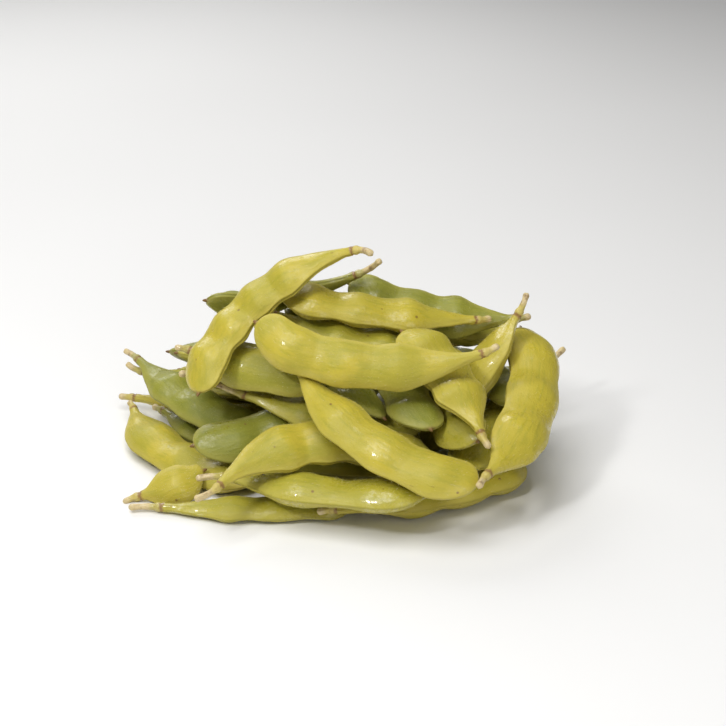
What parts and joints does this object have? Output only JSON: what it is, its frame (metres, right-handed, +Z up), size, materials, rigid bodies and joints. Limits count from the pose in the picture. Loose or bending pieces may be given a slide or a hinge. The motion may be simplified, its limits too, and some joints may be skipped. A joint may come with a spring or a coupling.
{
  "type": "edamame pod bundle",
  "caption": "A loose heap of boiled soybean pods in their skins, resting on a flat surface, for a serving or a shared snack.",
  "frame": {"origin": "on the surface that the heap lies on, under the middle of the heap's box", "axes": "+X to the right as the picture sees the heap and along its length, +Y away from the viewer, +Z up"},
  "size_m": [0.1338, 0.1016, 0.065],
  "materials": {
    "skin_yellow": "satin",
    "skin_green": "satin",
    "skin_dark": "satin"
  },
  "bodies": {
    "root": {"pod_back_high": "skin_green", "pod_back_left": "skin_green", "pod_back_right": "skin_green", "pod_back_round": "skin_green", "pod_back_slope": "skin_dark", "pod_core_back": "skin_green", "pod_core_front": "skin_green", "pod_core_high": "skin_green", "pod_core_low": "skin_green", "pod_core_middle": "skin_green", "pod_floor_left": "skin_yellow", "pod_front_arch": "skin_yellow", "pod_front_diagonal": "skin_yellow", "pod_front_low_left": "skin_green", "pod_front_low_right": "skin_yellow", "pod_front_thin": "skin_green", "pod_front_wavy": "skin_green", "pod_left_back_high": "skin_green", "pod_left_back_low": "skin_dark", "pod_left_core": "skin_green", "pod_left_crescent": "skin_yellow", "pod_left_dark": "skin_dark", "pod_left_middle": "skin_green", "pod_left_short": "skin_yellow", "pod_left_shoulder": "skin_dark", "pod_left_stub": "skin_dark", "pod_left_thin": "skin_green", "pod_middle_point": "skin_dark", "pod_middle_round": "skin_dark", "pod_right_crescent": "skin_yellow", "pod_right_hang": "skin_yellow", "pod_right_inner": "skin_green", "pod_right_low": "skin_dark", "pod_right_point": "skin_green", "pod_right_round": "skin_green", "pod_right_shoulder": "skin_dark", "pod_right_stalk": "skin_dark", "pod_right_upright": "skin_yellow", "pod_top_arch": "skin_yellow", "pod_top_back": "skin_dark", "pod_top_front": "skin_yellow", "pod_top_middle": "skin_yellow", "pod_top_stalk": "skin_dark"}
  },
  "joints": []
}
